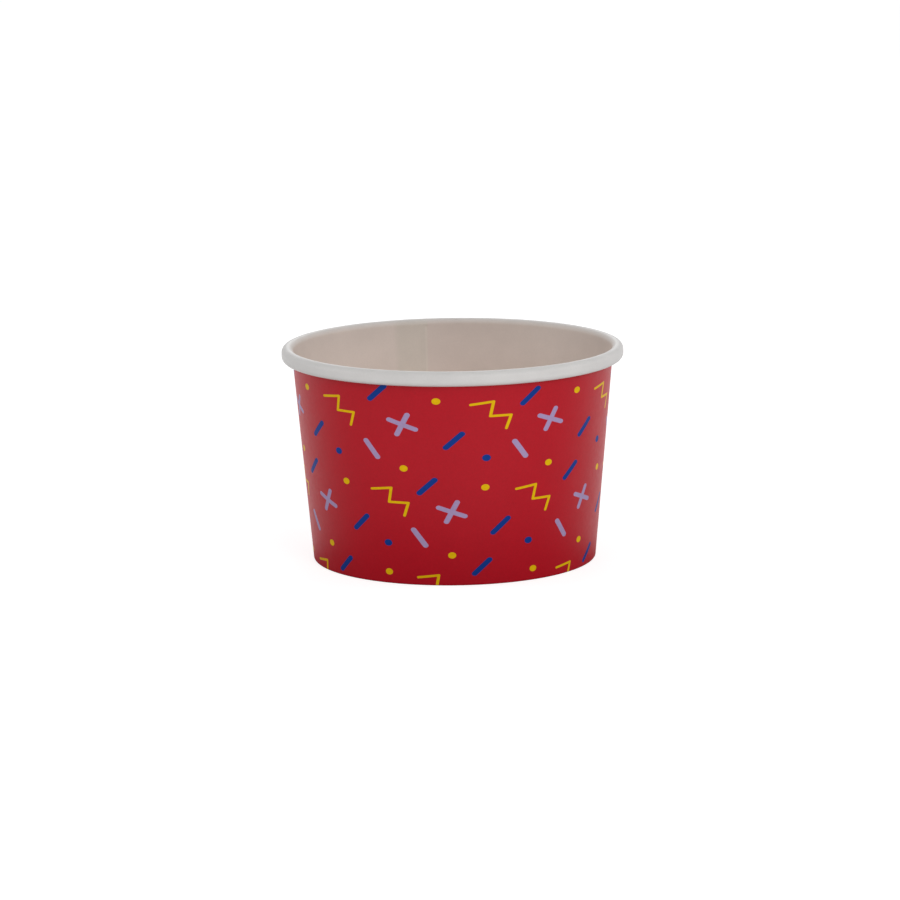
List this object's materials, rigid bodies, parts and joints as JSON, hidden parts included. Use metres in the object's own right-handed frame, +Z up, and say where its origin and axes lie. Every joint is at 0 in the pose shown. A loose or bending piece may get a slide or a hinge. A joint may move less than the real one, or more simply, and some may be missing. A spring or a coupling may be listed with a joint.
{
  "type": "paper bowl",
  "caption": "Round tapered paper bowl with a rolled rim, a lapped side seam and a recessed, hemmed base, for a single serving of ice cream, soup or snacks.",
  "frame": {"origin": "centre of the foot ring, on the plane that the bowl stands on", "axes": "+Z up along the bowl's axis, towards the rim; the pictured side faces -Y and the lapped seam is at the back, near +Y"},
  "size_m": [0.096, 0.096, 0.0606],
  "materials": {
    "printed_board": "coated board, printed satin red outside, plain white inside and on the rolled rim",
    "base_board": "plain white coated board, satin"
  },
  "bodies": {
    "root": {"side_wall": "printed_board", "base_disc": "base_board"}
  },
  "joints": []
}
